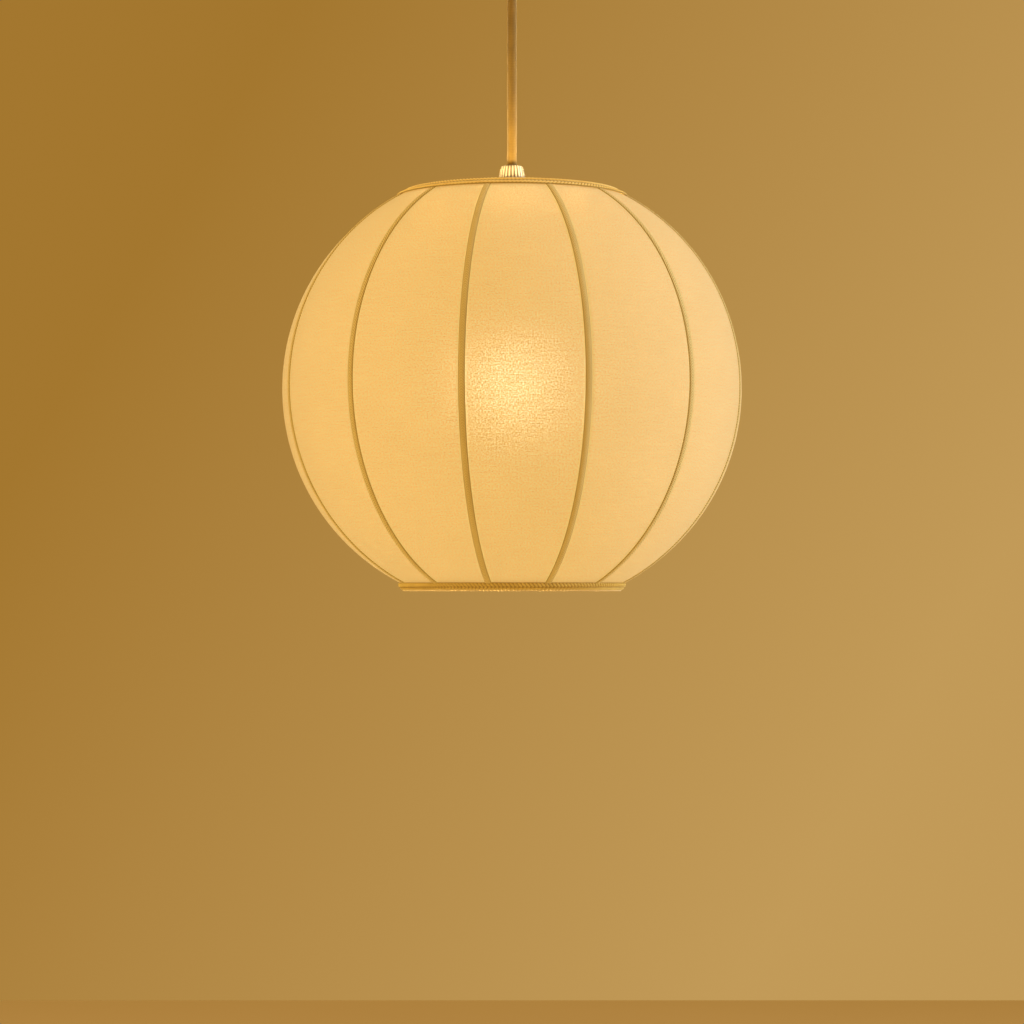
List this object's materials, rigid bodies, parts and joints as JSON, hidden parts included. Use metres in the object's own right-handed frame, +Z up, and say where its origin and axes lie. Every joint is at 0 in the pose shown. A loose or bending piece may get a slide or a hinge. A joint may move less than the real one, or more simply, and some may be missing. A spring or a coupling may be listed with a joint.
{
  "type": "globe paper lantern pendant lamp",
  "caption": "Globe lantern of cloth gores on a wire cage with taped seams and braided rims, hung by a short taut cord from a ceiling cup, with a screw-shell lampholder and bulb.",
  "frame": {"origin": "middle of the ceiling bracket, on its face against the ceiling and on the axis of the cord", "axes": "+Z up along the cord, +X along the bracket, towards one of its two slots"},
  "size_m": [0.3018, 0.3018, 0.4398],
  "materials": {
    "cover_cloth": "thin off-white woven cloth, lit from inside",
    "seam_tape": "flat woven twill tape",
    "rim_braid": "flat braid in a herringbone plait",
    "cage_wire": "wire with a cream powder coat",
    "cream_plastic": "moulded cream plastic, satin",
    "canopy_cream": "moulded cream plastic, satin",
    "ceramic": "white insulating ceramic",
    "brass": "rolled brass sheet",
    "steel": "zinc plated steel",
    "cord_sheath": "smooth beige cord sheath",
    "opal_glass": "opal glass",
    "bulb_white": "white moulded plastic",
    "bulb_alloy": "drawn aluminium"
  },
  "bodies": {
    "ceiling_mount": {"ceiling_bracket": "steel", "canopy": "canopy_cream", "canopy_screws": "steel", "cord_outlet": "cream_plastic", "ceiling_leads": "cord_sheath"},
    "cord": {"pendant_cord": "cord_sheath"},
    "lampholder": {"lampholder_cap": "cream_plastic", "cord_grip": "cream_plastic", "cord_tail": "cord_sheath", "lampholder_skirt": "cream_plastic", "contact_block": "ceramic", "screw_shell": "brass", "centre_contact": "brass", "terminal_screws": "steel"},
    "shade": {"gore_panel_01": "cover_cloth", "gore_panel_02": "cover_cloth", "gore_panel_03": "cover_cloth", "gore_panel_04": "cover_cloth", "gore_panel_05": "cover_cloth", "gore_panel_06": "cover_cloth", "gore_panel_07": "cover_cloth", "gore_panel_08": "cover_cloth", "gore_panel_09": "cover_cloth", "gore_panel_10": "cover_cloth", "gore_panel_11": "cover_cloth", "gore_panel_12": "cover_cloth", "rib_tape_01": "seam_tape", "rib_tape_02": "seam_tape", "rib_tape_03": "seam_tape", "rib_tape_04": "seam_tape", "rib_tape_05": "seam_tape", "rib_tape_06": "seam_tape", "rib_tape_07": "seam_tape", "rib_tape_08": "seam_tape", "rib_tape_09": "seam_tape", "rib_tape_10": "seam_tape", "rib_tape_11": "seam_tape", "rib_tape_12": "seam_tape", "rib_wire_01": "cage_wire", "rib_wire_02": "cage_wire", "rib_wire_03": "cage_wire", "rib_wire_04": "cage_wire", "rib_wire_05": "cage_wire", "rib_wire_06": "cage_wire", "rib_wire_07": "cage_wire", "rib_wire_08": "cage_wire", "rib_wire_09": "cage_wire", "rib_wire_10": "cage_wire", "rib_wire_11": "cage_wire", "rib_wire_12": "cage_wire", "top_ring": "cage_wire", "bottom_ring": "cage_wire", "top_braid": "rim_braid", "bottom_braid": "rim_braid", "spider": "cage_wire"},
    "shade_ring": {"shade_ring": "cream_plastic"},
    "bulb": {"bulb_globe": "opal_glass", "bulb_housing": "bulb_white", "led_board": "bulb_alloy", "bulb_cap": "bulb_alloy"}
  },
  "joints": [
    {"name": "cord_swing", "type": "hinge", "parent": "ceiling_mount", "child": "cord", "pos_m": [0, 0, -0.047], "axis": [0, 1, 0], "range_deg": [-12, 12]},
    {"name": "lantern_rock", "type": "hinge", "parent": "cord", "child": "lampholder", "pos_m": [0, 0, -0.16124], "axis": [1, 0, 0], "range_deg": [-8, 8]},
    {"name": "shade_turn", "type": "hinge", "parent": "lampholder", "child": "shade", "pos_m": [0, 0, -0.194], "axis": [0, 0, 1], "range_deg": [-180, 180]},
    {"name": "ring_off", "type": "slide", "parent": "lampholder", "child": "shade_ring", "axis": [0, 0, -1], "range_m": [0, 0.05]},
    {"name": "bulb_out", "type": "slide", "parent": "lampholder", "child": "bulb", "axis": [0, 0, -1], "range_m": [0, 0.25]}
  ]
}
